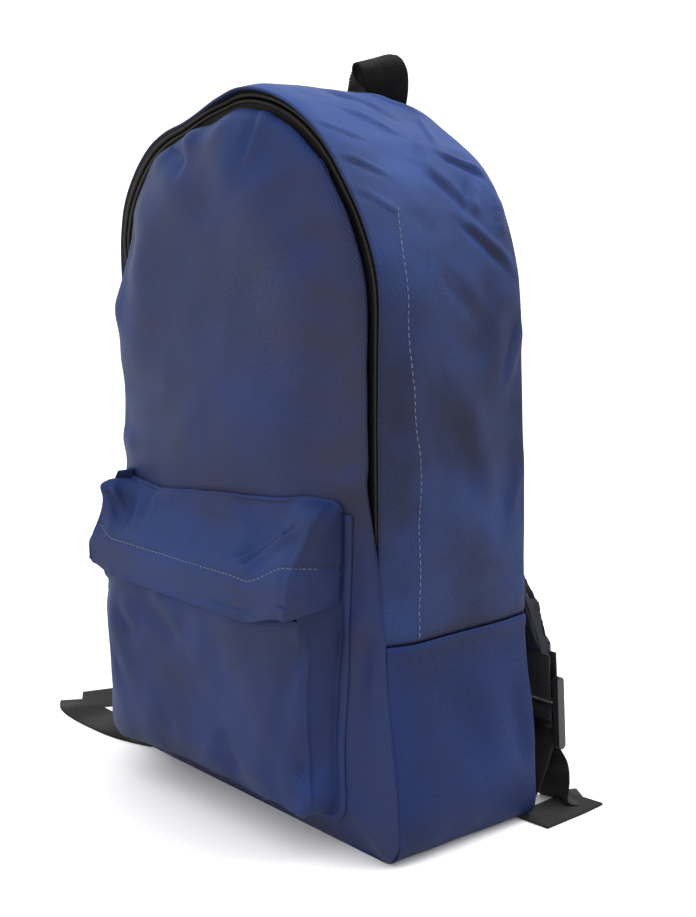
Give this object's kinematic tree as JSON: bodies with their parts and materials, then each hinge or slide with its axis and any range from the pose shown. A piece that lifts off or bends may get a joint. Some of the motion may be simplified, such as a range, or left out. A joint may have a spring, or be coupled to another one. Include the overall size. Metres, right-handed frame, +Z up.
{
  "type": "school backpack",
  "caption": "Arch-topped fabric school backpack with a U-shaped main zip, a zipped front pocket under a storm flap, a webbing haul loop and padded adjustable shoulder straps.",
  "frame": {"origin": "middle of the base, on the floor", "axes": "+Z up to the haul loop, the front pocket faces -Y, +X is the right side seen from the front"},
  "size_m": [0.383, 0.2152, 0.457],
  "materials": {
    "shell_fabric": "navy polyester twill, soft sheen",
    "black_fabric": "black polyester twill",
    "black_webbing": "black ribbed webbing",
    "zip_tape": "black woven zip tape",
    "zip_coil": "black nylon coil",
    "binding_tape": "black woven binding",
    "lining_fabric": "plain dark lining",
    "foam": "soft white foam",
    "zip_metal": "dark enamelled zinc",
    "stop_metal": "plain metal",
    "lock_plastic": "black acetal"
  },
  "bodies": {
    "bag": {"zip_gusset": "shell_fabric", "base_gusset": "shell_fabric", "front_panel_lower": "shell_fabric", "back_panel": "shell_fabric", "back_foam": "foam", "back_lining": "lining_fabric", "back_yoke": "shell_fabric", "rear_seam_binding": "binding_tape", "front_seam_binding": "binding_tape", "main_tape_outer": "zip_tape", "main_tape_inner_lower": "zip_tape", "main_coil_outer": "zip_coil", "main_coil_inner_lower": "zip_coil", "main_zip_stops": "stop_metal", "pocket_front": "shell_fabric", "pocket_top": "shell_fabric", "pocket_tape_lower": "zip_tape", "pocket_tape_upper": "zip_tape", "pocket_coil_lower": "zip_coil", "pocket_coil_upper": "zip_coil", "pocket_zip_stops": "stop_metal", "left_webbing_lower": "black_webbing", "right_webbing_lower": "black_webbing"},
    "front_flap": {"front_panel_upper": "shell_fabric", "main_tape_inner_upper": "zip_tape", "main_coil_inner_upper": "zip_coil"},
    "main_slider": {"main_slider": "zip_metal"},
    "main_puller": {"main_puller": "zip_metal"},
    "pocket_flap": {"pocket_flap": "shell_fabric"},
    "pocket_slider": {"pocket_slider": "zip_metal"},
    "pocket_puller": {"pocket_puller": "zip_metal"},
    "haul_loop": {"haul_loop": "black_webbing"},
    "left_strap": {"left_strap_cover": "black_fabric", "left_strap_foam": "foam", "left_strap_tab": "black_webbing"},
    "left_lock": {"left_ladder_lock": "lock_plastic", "left_webbing_tail": "black_webbing"},
    "right_strap": {"right_strap_cover": "black_fabric", "right_strap_foam": "foam", "right_strap_tab": "black_webbing"},
    "right_lock": {"right_ladder_lock": "lock_plastic", "right_webbing_tail": "black_webbing"}
  },
  "joints": [
    {"name": "front_flap_fold", "type": "hinge", "parent": "bag", "child": "front_flap", "pos_m": [0, -0.072, 0.206], "axis": [1, 0, 0], "range_deg": [0, 90]},
    {"name": "main_slider_slide", "type": "slide", "parent": "bag", "child": "main_slider", "axis": [0, 0, 1], "range_m": [0, 0.142]},
    {"name": "main_puller_hinge", "type": "hinge", "parent": "main_slider", "child": "main_puller", "pos_m": [-0.125, -0.0573, 0.157], "axis": [-1, 0, 0], "range_deg": [0, 170]},
    {"name": "pocket_flap_hinge", "type": "hinge", "parent": "bag", "child": "pocket_flap", "pos_m": [0, -0.0963, 0.172], "axis": [-1, 0, 0], "range_deg": [0, 45]},
    {"name": "pocket_slider_slide", "type": "slide", "parent": "bag", "child": "pocket_slider", "axis": [-1, 0, 0], "range_m": [0, 0.178]},
    {"name": "pocket_puller_hinge", "type": "hinge", "parent": "pocket_slider", "child": "pocket_puller", "pos_m": [0.089, -0.0993, 0.148], "axis": [0, 0, 1], "range_deg": [0, 20]},
    {"name": "haul_loop_hinge", "type": "hinge", "parent": "bag", "child": "haul_loop", "pos_m": [0, 0.054, 0.4304], "axis": [1, 0, 0], "range_deg": [-55, 55]},
    {"name": "left_strap_hinge", "type": "hinge", "parent": "bag", "child": "left_strap", "pos_m": [-0.042, 0.0555, 0.372], "axis": [1, 0, 0], "range_deg": [0, 20]},
    {"name": "left_lock_tilt", "type": "hinge", "parent": "left_strap", "child": "left_lock", "pos_m": [-0.118, 0.07549, 0.07664], "axis": [1, 0, 0], "range_deg": [0, 25]},
    {"name": "right_strap_hinge", "type": "hinge", "parent": "bag", "child": "right_strap", "pos_m": [0.042, 0.0555, 0.372], "axis": [1, 0, 0], "range_deg": [0, 20]},
    {"name": "right_lock_tilt", "type": "hinge", "parent": "right_strap", "child": "right_lock", "pos_m": [0.118, 0.07549, 0.07664], "axis": [1, 0, 0], "range_deg": [0, 25]}
  ]
}
